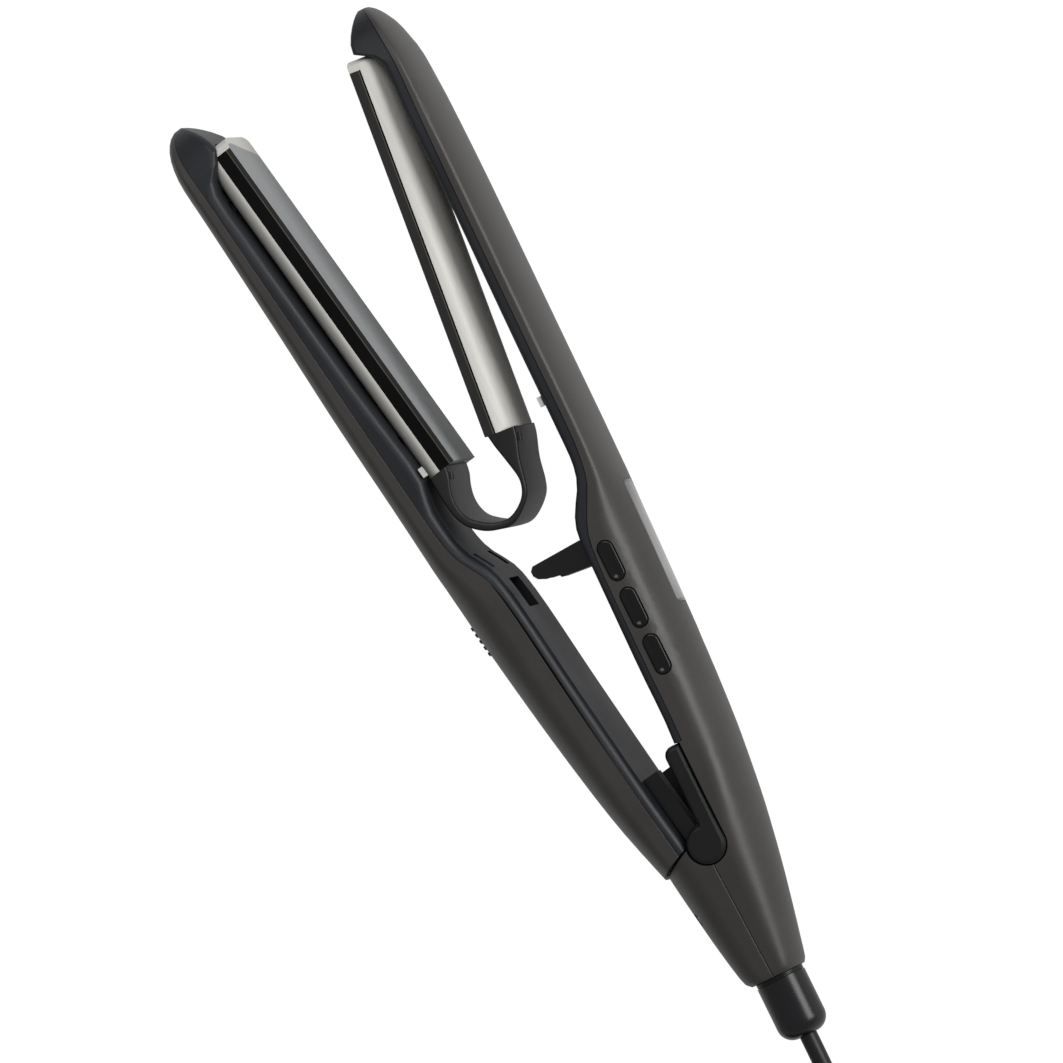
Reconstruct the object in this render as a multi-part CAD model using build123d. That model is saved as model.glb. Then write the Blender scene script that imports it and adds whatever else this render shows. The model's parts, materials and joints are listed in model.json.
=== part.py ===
from build123d import *
import math
import os

os.makedirs("parts", exist_ok=True)

# Hair straightener with a clip-in plate cartridge, lying on its side.
# Millimetres. Z is up and is the direction of the hinge pin, +Y runs to the tip, and +X is the
# outward side of the main arm. The origin is on the hinge axis, where it meets the table.
# Both arms are drawn shut. The lever arm is then swung open about the hinge, and the main arm's
# half of the cartridge is swung about its tip hook, as they stand when the tool is open.

# Body
body_width = 34.0
shell_wall = 2.0
seam_bevel = 0.3
crown_start = 0.3
tail_end_y = -43.0
tail_seam_x = -0.8

# Opening
lever_open_angle = 9.7
plate_open_angle = 5.8
tip_hook = (6.5, 247.5)

# Hinge
ear_radius = 6.2
ear_thickness = 5.4
ear_length = 30.0
ear_wall = 1.4
ear_rounding = ((1.2, 15), (0.7, 40), (0.3, 65))
ear_gap = 0.15
ear_corner = 3.0
web_thickness = 2.0
web_inset = 3.4
knuckle_radius = 5.7
knuckle_length = 26.0
knuckle_floor_x = -5.35
knuckle_top_x = -0.6
pin_radius = 2.4
running_fit = 0.05
moving_gap = 0.3
spring_wire = 1.1
spring_turns = 5
spring_gap = 0.5
spring_room = 11.0
spring_leg_room = 1.0
arm_gap = 0.9

# Plate cartridge
plate_plane_x = 4.7
plate_gap = 0.3
plate_width = 26.4
upper_plate_thickness = 2.7
upper_strip_thickness = 0.5
upper_barrel_depth = 7.6
lower_plate_thickness = 1.2
lower_strip_thickness = 3.7
lower_barrel_depth = 5.9
trim_thickness = 0.3
barrel_wall = 1.6
plate_start_y = 134.0
plate_length = 114.7
cap_length = 2.1
channel_gap = 0.4
tip_slack = 0.5
yoke_room_x = 15.6
core_height = 3.4
core_width = 12.0
heater_start_y = 140.0
heater_length = 88.0
heater_width = 12.0
heater_thickness = 1.4
fuse_radius = 1.4
fuse_length = 10.0
fuse_y = 122.0
yoke_start_y = 124.0
catch_faces = {1: 14.1, -1: -5.25}
catch_height = 1.3
catch_width = 1.6
catch_gap = 0.5
catch_y = 135.0
catch_length = 3.0
spreader_thickness = 1.0

# Controls
button_length = 12.4
button_width = 4.7
button_pitch = 15.1
button_first_y = 55.7
button_x = 11.9
button_proud = 0.5
button_travel = 0.6
button_flange = 0.9
button_rim = 0.5
button_dish = 0.35
button_seat = 0.05
switch_gap = 0.1
button_gap = 0.25
board_thickness = 1.6
board_start_y = 44.0
board_length = 62.0
switch_size = 4.6
switch_height = 2.0
display_length = 39.0
display_width = 11.5
display_start_y = 67.0
lens_thickness = 1.3
lens_gap = 0.12
lens_corner = 2.5
ledge_width = 1.2
display_module_top = 20.5
control_board_x = 14.4
board_half = 12.0
board_seat = 0.3

# Fasteners
screw_radius = 1.05
pilot_gap = 0.03
head_radius = 1.9
head_height = 1.2
head_gap = 0.15
boss_radius = 2.1
cover_screw_length = 4.0
tail_screw_y = -18.5
tail_screw_offset = 7.0
tail_screw_seat_x = -12.4
tail_screw_length = 15.0
channel_screw_offset = 9.4
channel_screw_ys = (148.0, 233.0)
handle_screw_y = 36.0
floor_under_head = 1.1

lap_height = 0.3
lap_gap = 0.1
channel_floor = 1.05
coarse_step = 7.0
fine_step = 2.4
throat = (92.0, 132.0)
throat_step = 3.4
tail_room_y = -8.5

# Latch
prong_root_y = 87.3
prong_length = 9.0
prong_reach = -14.0
prong_width = 9.0
prong_foot_x = 8.4
prong_foot = 1.4
prong_foot_width = 14.0
prong_foot_reach = 1.5
slot_length = 10.4
slot_width = 12.0
slot_start_y = 87.2
vent_start_y = 102.5
vent_length = 6.5
vent_offset = 9.0
vent_half = 1.8
slider_start_y = 82.0
slider_length = 11.0
slider_width = 11.0
slider_ribs = 5
slider_rib = 0.5
slider_travel = 4.0
slider_inner_x = -18.6
finger_x = -9.7
finger_thickness = 2.2

# Tail and cord
sleeve_axis_x = -1.4
sleeve_radius = 7.6
sleeve_length = 18.0
sleeve_dome = 4.8
sleeve_neck_radius = 5.6
collar_length = 1.1
ring_radius = 7.3
bushing_radius = 6.6
bushing_length = 2.4
flange_radius = 6.3
flange_length = 1.4
slip_block_radius = 4.6
slip_block_length = 12.0
slip_ring_width = 1.6
slip_ring_height = 0.6
lead_width = 2.2
lead_offset = 3.4
cord_width = 5.4
coil_pitch = 5.85
coil_inner_radius = 21.6
coil_turns = 4
coil_x = -49.6
coil_y = -125.0
coil_top_z = 8.55
coil_low_z = 2.7
plug_relief_y = -110.8
plug_relief_length = 22.0
relief_radius = 4.8
plug_length = 34.0
plug_width = 26.0
plug_height = 13.6
pin_plug_radius = 2.0
pin_plug_length = 19.0
pin_plug_pitch = 19.0

mid_z = body_width / 2
flange_top = body_width - shell_wall - button_seat


def write(shape, name):
    """Writes one piece, as the solids that it is made of."""
    solids = shape.solids()
    piece = solids[0] if len(solids) == 1 else Compound(children=list(solids))
    export_step(piece, f"parts/{name}.step")


def block(x, y, z):
    """A box between two values on each axis."""
    size = [abs(b - a) for a, b in (x, y, z)]
    middle = [(a + b) / 2 for a, b in (x, y, z)]
    return Pos(*middle) * Box(*size)


def rod_x(radius, x, y, z):
    """A cylinder along X between two values of x."""
    return Pos((x[0] + x[1]) / 2, y, z) * Rot(0, 90, 0) * Cylinder(radius, abs(x[1] - x[0]))


def rod_y(radius, x, z, y):
    """A cylinder along Y between two values of y."""
    return Pos(x, (y[0] + y[1]) / 2, z) * Rot(90, 0, 0) * Cylinder(radius, abs(y[1] - y[0]))


def rod_z(radius, x, y, z):
    """A cylinder along Z between two values of z."""
    return Pos(x, y, (z[0] + z[1]) / 2) * Cylinder(radius, abs(z[1] - z[0]))


def turned(shape, pivot, degrees):
    """The shape turned about a vertical axis through a point of the side view."""
    return Pos(*pivot, 0) * Rot(0, 0, degrees) * Pos(-pivot[0], -pivot[1], 0) * shape


def lever(shape):
    """A piece drawn shut, swung open with the lever arm."""
    return turned(shape, (0, 0), lever_open_angle)


def main(shape):
    """A piece of the main arm, which stays where it is drawn."""
    return shape


def hooked(shape):
    """A piece drawn shut, swung about the tip hook with the main arm's half of the cartridge."""
    return turned(shape, tip_hook, -plate_open_angle)


def between_stations(stations, y):
    """A cross-section's values at y, on smooth curves through the stations."""
    i = next(k for k in range(1, len(stations)) if y <= stations[k][0] + 1e-6)
    before, a, b = stations[max(i - 2, 0)], stations[i - 1], stations[i]
    after = stations[min(i + 1, len(stations) - 1)]
    span = b[0] - a[0]
    t = (y - a[0]) / span
    values = [y]
    for j in range(1, len(a)):
        leave = span * (b[j] - before[j]) / (b[0] - before[0])
        arrive = span * (after[j] - a[j]) / (after[0] - a[0])
        rise = (2 * t**3 - 3 * t**2 + 1) * a[j] + (3 * t**2 - 2 * t**3) * b[j]
        values.append(rise + (t**3 - 2 * t**2 + t) * leave + (t**3 - t**2) * arrive)
    values[1] = max(values[1], 0.0)
    return values


def closer_in_throat(places):
    """Section places with those in the throat, where the arms bend, set closer together."""
    low, high = max(throat[0], places[0]), min(throat[1], places[-1])
    if high - low < 2 * throat_step:
        return places
    count = math.ceil((high - low) / throat_step)
    inside = [low + (high - low) * i / count for i in range(count + 1)]
    spare = throat_step / 2
    before = [y for y in places if y < low - spare]
    after = [y for y in places if y > high + spare]
    return before + inside + after


def lofted(stations, start_y, end_y, section):
    """A solid through evenly spaced cross-sections, closer together near a rounded end and in the throat."""
    first, last = stations[0][0], stations[-1][0]
    near_end = start_y < first + 5 or end_y > last - 24
    step = fine_step if near_end else coarse_step
    count = max(2, math.ceil((end_y - start_y) / step))
    places = []
    for i in range(count + 1):
        share = i / count
        if near_end and end_y == last:
            share = math.sin(math.pi / 2 * share)
        places.append(start_y + (end_y - start_y) * share)
    faces = [across(y) * section(between_stations(stations, y)) for y in closer_in_throat(places)]
    return loft(faces, ruled=True)


def crown_arc(x, depth, half, side):
    """Half an ellipse over an arm's crown."""
    return EllipticalCenterArc((x, 0), depth, half, start_angle=-90 * side, arc_size=180)


def measures(values, grow=0.0):
    """Side, half width, inner face, seam, shoulder, crown and corner of a cross-section."""
    _, narrower, flat_x, seam_x, crown_x, corner = values
    side = 1 if crown_x > flat_x else -1
    shoulder_x = seam_x + crown_start * (crown_x - seam_x)
    return side, body_width / 2 - narrower + grow, flat_x, seam_x, shoulder_x, crown_x + side * grow, corner


def shell_section(values, wall, from_inner_face=False, grow=0.0):
    """Across a shell: an arch of even thickness that stands on the seam."""
    side, half, flat_x, seam_x, shoulder_x, crown_x, _ = measures(values, grow)
    edge_x = flat_x if from_inner_face else seam_x
    inner = half - wall
    depth = abs(crown_x - shoulder_x)
    bevel_x, bevel = edge_x + side * seam_bevel, half - seam_bevel
    return make_face(
        [
            Polyline((shoulder_x, half), (bevel_x, half), (edge_x, bevel), (edge_x, inner), (shoulder_x, inner)),
            Polyline((shoulder_x, -half), (bevel_x, -half), (edge_x, -bevel), (edge_x, -inner), (shoulder_x, -inner)),
            crown_arc(shoulder_x, depth, half, side),
            crown_arc(shoulder_x, depth - wall, inner, side),
        ]
    )


def solid_section(values, from_inner_face=False, grow=0.0):
    """Across the solid end of a shell: the same arch, filled."""
    side, half, flat_x, seam_x, shoulder_x, crown_x, _ = measures(values, grow)
    edge_x = flat_x if from_inner_face else seam_x
    bevel_x, bevel = edge_x + side * seam_bevel, half - seam_bevel
    return make_face(
        [
            Polyline(
                (shoulder_x, half),
                (bevel_x, half),
                (edge_x, bevel),
                (edge_x, -bevel),
                (bevel_x, -half),
                (shoulder_x, -half),
            ),
            crown_arc(shoulder_x, abs(crown_x - shoulder_x), half, side),
        ]
    )


def cover_section(values, lap):
    """Across a cover: a flat inner face with rounded edges, and a lap inside the shell's walls."""
    side, half, flat_x, seam_x, _, _, corner = measures(values)
    inset = corner * (1 - math.sqrt(0.5))
    edges = [Line((flat_x, corner - half), (flat_x, half - corner))]
    for z in (-1, 1):
        edges.append(
            ThreePointArc(
                (flat_x, z * (half - corner)),
                (flat_x + side * inset, z * (half - inset)),
                (flat_x + side * corner, z * half),
            )
        )
    if not lap:
        edges.append(
            Polyline((flat_x + side * corner, -half), (seam_x, -half), (seam_x, half), (flat_x + side * corner, half))
        )
        return make_face(edges)
    top_x = seam_x + side * lap_height
    inner = half - shell_wall - lap_gap
    edges.append(
        Polyline(
            (flat_x + side * corner, -half),
            (seam_x, -half),
            (seam_x, -inner),
            (top_x, -inner),
            (top_x, inner),
            (seam_x, inner),
            (seam_x, half),
            (flat_x + side * corner, half),
        )
    )
    return make_face(edges)


def side_region(outline):
    """A side-view outline as a prism across the whole width."""
    return Pos(0, 0, -1) * extrude(make_face(outline), amount=body_width + 2)


# Cross-sections: y, how much narrower than the body on each side, inner face, seam, crown,
# and the rounding of the inner edges.
main_stations = [
    (tail_end_y, 7.0, tail_seam_x, tail_seam_x, 6.7, 0.4),
    (-41.5, 6.2, tail_seam_x, tail_seam_x, 7.6, 0.4),
    (-37.0, 5.5, tail_seam_x, tail_seam_x, 8.7, 0.4),
    (-27.0, 4.0, tail_seam_x, tail_seam_x, 11.0, 0.4),
    (-17.0, 2.5, tail_seam_x, tail_seam_x, 13.2, 0.4),
    (-7.0, 1.2, tail_seam_x, 0.0, 15.1, 0.4),
    (3.0, 0.3, tail_seam_x, 2.0, 16.8, 0.4),
    (13.0, 0.0, 1.0, 5.0, 18.1, 0.8),
    (30.0, 0.0, 4.5, 7.0, 20.0, 1.4),
    (55.0, 0.0, 4.9, 7.3, 21.7, 1.8),
    (87.0, 0.0, 5.6, 7.9, 23.0, 1.8),
    (96.0, 0.0, 5.9, 9.1, 23.2, 1.8),
    (100.0, 0.0, 6.7, 10.8, 23.3, 1.8),
    (104.0, 0.0, 8.6, 12.8, 23.3, 1.8),
    (108.0, 0.1, 11.2, 14.9, 23.3, 1.8),
    (112.0, 0.2, 13.0, 16.2, 23.2, 1.8),
    (117.0, 0.4, 13.9, 16.9, 23.2, 1.8),
    (125.0, 0.5, 14.1, 17.4, 23.3, 1.8),
    (153.0, 0.5, 14.4, 17.6, 23.6, 1.8),
    (203.0, 0.5, 15.2, 18.2, 24.1, 1.8),
    (230.0, 0.6, 15.2, 18.7, 23.8, 1.8),
    (240.0, 1.0, 15.5, 18.9, 23.3, 1.8),
    (244.5, 1.3, 15.4, 18.8, 23.1, 1.8),
    (248.0, 2.0, 14.2, 18.5, 22.7, 1.6),
    (250.6, 2.8, 9.4, 18.1, 22.2, 1.4),
    (252.4, 3.5, 8.1, 17.8, 21.7, 1.4),
    (256.2, 5.1, 9.0, 17.2, 20.8, 1.2),
    (260.2, 8.1, 10.9, 16.2, 18.9, 0.9),
    (262.4, 10.9, 12.2, 15.4, 17.4, 0.7),
    (263.6, 13.4, 13.0, 14.8, 16.0, 0.5),
]
lever_stations = [
    (-2.5, 1.6, -5.9, -8.8, -18.7, 2.4),
    (3.0, 1.0, -5.7, -8.8, -19.4, 2.8),
    (13.0, 0.3, -5.6, -8.5, -20.6, 3.0),
    (23.0, 0.0, -5.5, -8.4, -21.5, 3.0),
    (43.0, 0.0, -5.1, -7.6, -22.3, 3.0),
    (63.0, 0.0, -4.6, -6.8, -22.6, 3.0),
    (88.0, 0.0, -3.8, -6.1, -22.5, 3.0),
    (97.0, 0.0, -4.0, -6.5, -22.2, 3.0),
    (101.0, 0.0, -4.5, -7.5, -22.1, 3.0),
    (105.0, 0.1, -5.9, -9.1, -21.9, 3.0),
    (109.0, 0.2, -7.6, -10.7, -21.8, 3.0),
    (113.0, 0.3, -8.6, -11.7, -21.6, 3.0),
    (119.0, 0.4, -8.9, -12.1, -21.3, 3.0),
    (126.0, 0.5, -8.5, -12.0, -21.0, 3.0),
    (131.0, 0.5, -6.9, -11.9, -20.8, 3.0),
    (136.0, 0.5, -5.4, -11.8, -20.6, 3.0),
    (146.0, 0.5, -5.4, -11.6, -20.3, 3.0),
    (166.0, 0.5, -6.0, -11.1, -19.6, 3.0),
    (193.0, 0.5, -6.1, -10.5, -18.1, 3.0),
    (223.0, 0.5, -6.1, -9.8, -16.7, 3.0),
    (238.0, 0.8, -5.9, -9.5, -16.1, 3.0),
    (243.2, 1.1, -3.6, -9.5, -16.0, 2.6),
    (247.0, 1.6, 0.8, -9.5, -15.8, 2.4),
    (250.2, 2.4, 1.0, -9.6, -15.4, 2.2),
    (254.2, 4.2, -0.2, -9.5, -14.5, 1.8),
    (257.2, 6.3, -1.9, -9.2, -13.4, 1.5),
    (259.4, 8.6, -3.5, -8.8, -12.2, 1.1),
    (261.0, 10.9, -4.9, -8.3, -10.8, 0.8),
    (262.0, 13.2, -6.0, -7.8, -9.3, 0.5),
]
tail_stations = [
    (tail_end_y, 7.0, tail_seam_x, tail_seam_x, -9.8, 0.4),
    (-41.5, 6.2, tail_seam_x, tail_seam_x, -11.3, 0.4),
    (-37.0, 5.5, tail_seam_x, tail_seam_x, -12.5, 0.4),
    (-27.0, 4.0, tail_seam_x, tail_seam_x, -14.3, 0.4),
    (-17.0, 2.5, tail_seam_x, tail_seam_x, -15.8, 0.4),
    (-7.0, 1.2, tail_seam_x, tail_seam_x, -17.2, 0.4),
    (3.0, 0.3, tail_seam_x, tail_seam_x, -18.4, 0.4),
]

# Each half of the cartridge: plate, trim line, side strip and barrel, away from the plate plane
halves = {
    1: (upper_plate_thickness, upper_strip_thickness, upper_barrel_depth),
    -1: (lower_plate_thickness, lower_strip_thickness, lower_barrel_depth),
}
channel_start_y = 118.0
hollow_end_y = 238.0


def half_faces(side):
    """Where one half's plate, trim, strip and barrel end, as values of x away from the plate plane."""
    plate, strip, depth = halves[side]
    near = plate_plane_x + side * plate_gap / 2
    plate_back = near + side * plate
    trim_back = plate_back + side * trim_thickness
    strip_back = trim_back + side * strip
    return near, plate_back, trim_back, strip_back, strip_back + side * depth


def channel_x(side):
    """The deepest line of the channel that one half of the cartridge lies in."""
    return half_faces(side)[4] + side * channel_gap


def across(y):
    """The plane across the arms at y."""
    return Plane(origin=(0, y, mid_z), x_dir=(1, 0, 0), z_dir=(0, -1, 0))


def half_outline(side, half, depth, near, shoulder):
    """Across one half of the cartridge: straight sides behind the plate, then the barrel."""
    start = -90 if side > 0 else 90
    return make_face(
        [
            Polyline((shoulder, -half), (near, -half), (near, half), (shoulder, half)),
            EllipticalCenterArc((shoulder, 0), depth, half, start_angle=start, arc_size=180),
        ]
    )


def cartridge_form(side, grow=0.0):
    """One half of the cartridge as a solid form, from its yoke to the rounded tip."""
    near, _, _, shoulder, _ = half_faces(side)
    near = near - side * grow
    depth = halves[side][2]
    half = plate_width / 2
    start = plate_start_y - grow
    end = plate_start_y + plate_length
    body = extrude(across(end) * half_outline(side, half + grow, depth + grow, near, shoulder), end - start)
    tip = []
    for step, share in ((0, 1.0), (0.25, 0.985), (0.5, 0.93), (0.75, 0.83), (0.92, 0.72), (1.0, 0.6)):
        outline = half_outline(side, half * share + grow, depth * share + grow, near, shoulder)
        tip.append(across(end + step * (cap_length + grow)) * outline)
    return body + loft(tip, ruled=True)


def pill(length, width, y, x, z):
    """A slot-shaped outline on the near side, long along Y."""
    return Pos(x, y, z) * Rot(0, 0, 90) * SlotOverall(length, width)


def route(points, name):
    """A path of straight runs and tangent arcs, each arc as large as its two runs allow."""
    radii = []
    for before, here, after in zip(points, points[1:], points[2:]):
        a = Vector(*here) - Vector(*before)
        b = Vector(*after) - Vector(*here)
        turn = math.radians(a.get_angle(b))
        radii.append(0.45 * min(a.length, b.length) / math.tan(turn / 2))
    print(name, "radii", [round(r, 1) for r in radii])
    return FilletPolyline(*points, radius=radii)


def tube(path, radius):
    """A round tube along a path."""
    start = path @ 0
    plane = Plane(origin=start, z_dir=path % 0)
    return sweep(plane * Circle(radius), path=path)


# The tail cover's front face and the lever arm's rear face lean alike, an even gap apart
front_y = -1.0
front_x = -10.0
front_lean = 24.6


def front_line(x, gap=0.0):
    """The y of the slanted joint behind the lever arm, at x."""
    return front_y + gap + (x - front_x) * math.tan(math.radians(front_lean))


def in_front(gap):
    """Everything on the tip side of the slanted joint."""
    low, high = -200.0, 60.0
    return side_region(
        [Polyline((low, front_line(low, gap)), (high, front_line(high, gap)), (high, 400), (low, 400),
                  (low, front_line(low, gap)))]
    )


ear_hole = rod_z(ear_radius + ear_gap, 0, 0, (-1, body_width + 1))
lever_ear_hole = rod_z(ear_radius + moving_gap, 0, 0, (-1, body_width + 1))


def screw_places(side):
    """The cover screws of one arm: y, distance from mid width, head seat and boss end in x."""
    stations = main_stations if side > 0 else lever_stations
    places = [(y, z) for y in channel_screw_ys for z in (-channel_screw_offset, channel_screw_offset)]
    if side > 0:
        places.append((handle_screw_y, 0))
    found = []
    for y, offset in places:
        boss_x = between_stations(stations, y)[3] + side * (lap_height + 0.05)
        found.append((y, offset, boss_x - side * floor_under_head, boss_x))
    return found


def cover_screws(side):
    """Pan-head screws, as one group of separate solids."""
    screws = []
    for y, offset, seat_x, _ in screw_places(side):
        head = rod_x(head_radius, (seat_x - side * head_height, seat_x), y, mid_z + offset)
        shank = rod_x(screw_radius, (seat_x, seat_x + side * cover_screw_length), y, mid_z + offset)
        screws.append(head + shank)
    return screws


def screw_bosses(side, form):
    """Bosses that stand inside a shell, down to its cover."""
    return [
        rod_x(boss_radius, (boss_x, side * 30), y, mid_z + offset) & form
        for y, offset, _, boss_x in screw_places(side)
    ]


def screw_holes(side):
    """Pilot holes, with a recess for each head."""
    holes = []
    for y, offset, seat_x, _ in screw_places(side):
        tip_x = seat_x + side * (cover_screw_length + 0.4)
        holes.append(rod_x(screw_radius + pilot_gap, (seat_x - side * 9, tip_x), y, mid_z + offset))
        holes.append(rod_x(head_radius + head_gap, (seat_x - side * 9, seat_x), y, mid_z + offset))
    return holes


def display_prism(grow):
    """The lens outline through the crown of the main arm."""
    plane = Plane(origin=(15, display_start_y + display_length / 2, mid_z), x_dir=(0, 1, 0), z_dir=(1, 0, 0))
    outline = RectangleRounded(display_length + 2 * grow, display_width + 2 * grow, lens_corner + grow)
    return extrude(plane * outline, amount=12)


def largest(shape):
    """The main solid of a cut shape, without slivers."""
    return max(shape.solids(), key=lambda solid: solid.volume)


def button_outline(grow, y, z):
    """One button's outline, widened all round."""
    return pill(button_length + 2 * grow, button_width + 2 * grow, y, button_x, z)


def heater_pocket(side):
    """The room behind the channel, where a heater lies."""
    floor_x = channel_x(side) + side * channel_floor
    half = heater_width / 2 + 1.3
    return block((floor_x, side * 30), (heater_start_y - 4, hollow_end_y - 4), (mid_z - half, mid_z + half))


def main_arm_casing():
    """The main arm's outer shell, inner cover, tail cover and display lens."""
    ear_slot = block((-20, ear_radius + ear_gap), (0, ear_length + ear_gap), (-1, body_width + 1))
    bore = rod_y(bushing_radius, sleeve_axis_x, mid_z, (tail_end_y - 1, tail_end_y + bushing_length))
    tail_shank_end_x = tail_screw_seat_x + tail_screw_length
    tail_screw_zs = (mid_z - tail_screw_offset, mid_z + tail_screw_offset)
    pilot_span = (-30, tail_shank_end_x + 0.4)
    tail_pilots = [rod_x(screw_radius + pilot_gap, pilot_span, tail_screw_y, z) for z in tail_screw_zs]
    wall_y = tail_end_y + shell_wall - 0.5
    rear = main_stations
    within = lofted(rear, 30, hollow_end_y + 4, lambda v: solid_section(v, grow=-shell_wall / 2))
    shell = lofted(rear, tail_end_y, wall_y, lambda v: solid_section(v, True))
    shell = shell + lofted(rear, wall_y, ear_length, lambda v: shell_section(v, shell_wall, True))
    shell = shell + lofted(rear, ear_length, hollow_end_y, lambda v: shell_section(v, shell_wall))
    shell = shell + lofted(rear, hollow_end_y, rear[-1][0], solid_section)
    for boss in screw_bosses(1, within):
        shell = shell + boss
    within = lofted(rear, -30, -10, lambda v: solid_section(v, True, -shell_wall / 2))
    for z in tail_screw_zs:
        shell = shell + (rod_x(boss_radius, (tail_seam_x, 30), tail_screw_y, z) & within)
    shell = shell - ear_hole - ear_slot - bore
    for hole in screw_holes(1) + tail_pilots:
        shell = shell - hole
    for i in range(3):
        y = button_first_y + i * button_pitch
        window = extrude(button_outline(button_gap, y, flange_top - 1), amount=shell_wall + 3)
        pocket = extrude(button_outline(button_flange + button_gap, y, flange_top - 5), amount=5 + button_seat)
        shell = shell - window - pocket
    start_y = display_start_y - 4
    end_y = display_start_y + display_length + 4
    lens_skin = lofted(rear, start_y, end_y, lambda v: shell_section(v, lens_thickness))
    seat_skin = lofted(rear, start_y, end_y, lambda v: shell_section(v, lens_thickness + 1.05, grow=1.0))
    shell = shell - (seat_skin & display_prism(lens_gap)) - display_prism(-ledge_width)
    write(largest(shell), "main_outer_shell")
    write(largest(lens_skin & display_prism(0.0)), "display_lens")

    cover = lofted(rear, ear_length + ear_gap, hollow_end_y, lambda v: cover_section(v, True))
    cover = cover + lofted(rear, hollow_end_y, rear[-1][0], lambda v: cover_section(v, False))
    pocket = cartridge_form(1, channel_gap)
    cover = cover - pocket - Pos(0, tip_slack, 0) * pocket - heater_pocket(1)
    half = plate_width / 2 + channel_gap
    yoke_room_end_y = plate_start_y + tip_slack
    cover = cover - block((-20, yoke_room_x), (channel_start_y, yoke_room_end_y), (mid_z - half, mid_z + half))
    half = prong_width / 2 + ear_gap
    prong_end_y = prong_root_y + prong_length + ear_gap
    cover = cover - block((0, 20), (prong_root_y - ear_gap, prong_end_y), (mid_z - half, mid_z + half))
    half = prong_foot_width / 2 + ear_gap
    foot_span = (prong_root_y - prong_foot_reach - ear_gap, prong_end_y + prong_foot_reach)
    cover = cover - block((prong_foot_x, 20), foot_span, (mid_z - half, mid_z + half))
    for hole in screw_holes(1):
        cover = cover - hole
    write(largest(cover), "main_inner_cover")

    tail = lofted(tail_stations, tail_end_y, wall_y, solid_section)
    tail = tail + lofted(tail_stations, wall_y, tail_room_y, lambda v: shell_section(v, shell_wall))
    tail = tail + lofted(tail_stations, tail_room_y, tail_stations[-1][0], solid_section)
    within = lofted(tail_stations, -30, -10, lambda v: solid_section(v, grow=-shell_wall / 2))
    for z in tail_screw_zs:
        tail = tail + (rod_x(boss_radius, (-30, tail_seam_x), tail_screw_y, z) & within)
    tail = tail - in_front(0.0) - ear_hole - bore
    for z, tail_pilot in zip(tail_screw_zs, tail_pilots):
        tail = tail - tail_pilot - rod_x(head_radius + head_gap, (-30, tail_screw_seat_x), tail_screw_y, z)
    write(largest(tail), "tail_cover")

    write(Compound(children=cover_screws(1)), "main_cover_screws")
    tail_screws = []
    for z in tail_screw_zs:
        head = rod_x(head_radius, (tail_screw_seat_x - head_height, tail_screw_seat_x), tail_screw_y, z)
        tail_screws.append(head + rod_x(screw_radius, (tail_screw_seat_x, tail_shank_end_x), tail_screw_y, z))
    write(Compound(children=tail_screws), "tail_screws")


def hinge():
    """The ears on the main arm, the knuckle on the lever arm, the pin and the opening spring."""
    spring_leg_x = pin_radius + spring_gap + spring_wire
    bracket = block(
        (ear_radius, ear_radius + web_thickness), (1, ear_length - 2), (web_inset, body_width - web_inset)
    )
    for low, root in ((0.0, web_inset), (body_width - ear_thickness, body_width - ear_thickness)):
        outline = Pos(ear_radius / 2, ear_length / 2) * Rectangle(ear_radius, ear_length)
        corner = outline.vertices().sort_by(Axis.X)[:2].sort_by(Axis.Y)[-1]
        straight = ear_thickness - sum(rise for rise, _ in ear_rounding)
        ear = extrude(fillet(corner, ear_corner) + Circle(ear_radius), amount=straight)
        for rise, lean in ear_rounding:
            ear = ear + extrude(ear.faces().sort_by(Axis.Z)[-1], amount=rise, taper=lean)
        if low == 0.0:
            ear = Pos(0, 0, ear_thickness) * mirror(ear, about=Plane.XY)
        bracket = bracket + Pos(0, 0, low) * ear
        bracket = bracket + block(
            (ear_radius - 2, ear_radius + web_thickness), (1, ear_length - 2), (root, root + ear_thickness - web_inset)
        )
    bracket = bracket + block(
        (spring_leg_x + 0.05, ear_radius + 0.5),
        (ear_length / 4, ear_length / 2),
        (mid_z + spring_room / 2 - 3.5, mid_z + spring_room / 2),
    )
    pin_span = (ear_wall, body_width - ear_wall)
    bracket = bracket - rod_z(pin_radius, 0, 0, pin_span)
    write(bracket, "hinge_bracket")
    write(rod_z(pin_radius, 0, 0, pin_span), "hinge_pin")

    inner = (ear_thickness + moving_gap, body_width - ear_thickness - moving_gap)
    base_top_x = -spring_leg_x - 0.05
    knuckle = block((knuckle_floor_x, base_top_x), (0, knuckle_length), inner)
    leg_low_z = mid_z - spring_room / 2 - spring_leg_room
    for low, high in ((inner[0], leg_low_z), (mid_z + spring_room / 2, inner[1])):
        knuckle = knuckle + rod_z(knuckle_radius, 0, 0, (low, high))
        knuckle = knuckle + block((knuckle_floor_x, knuckle_top_x), (0, knuckle_length), (low, high))
    knuckle = knuckle - rod_z(pin_radius + running_fit, 0, 0, (0, body_width))
    write(lever(knuckle), "hinge_knuckle")
    write(torsion_spring(), "hinge_torsion_spring")


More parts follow.
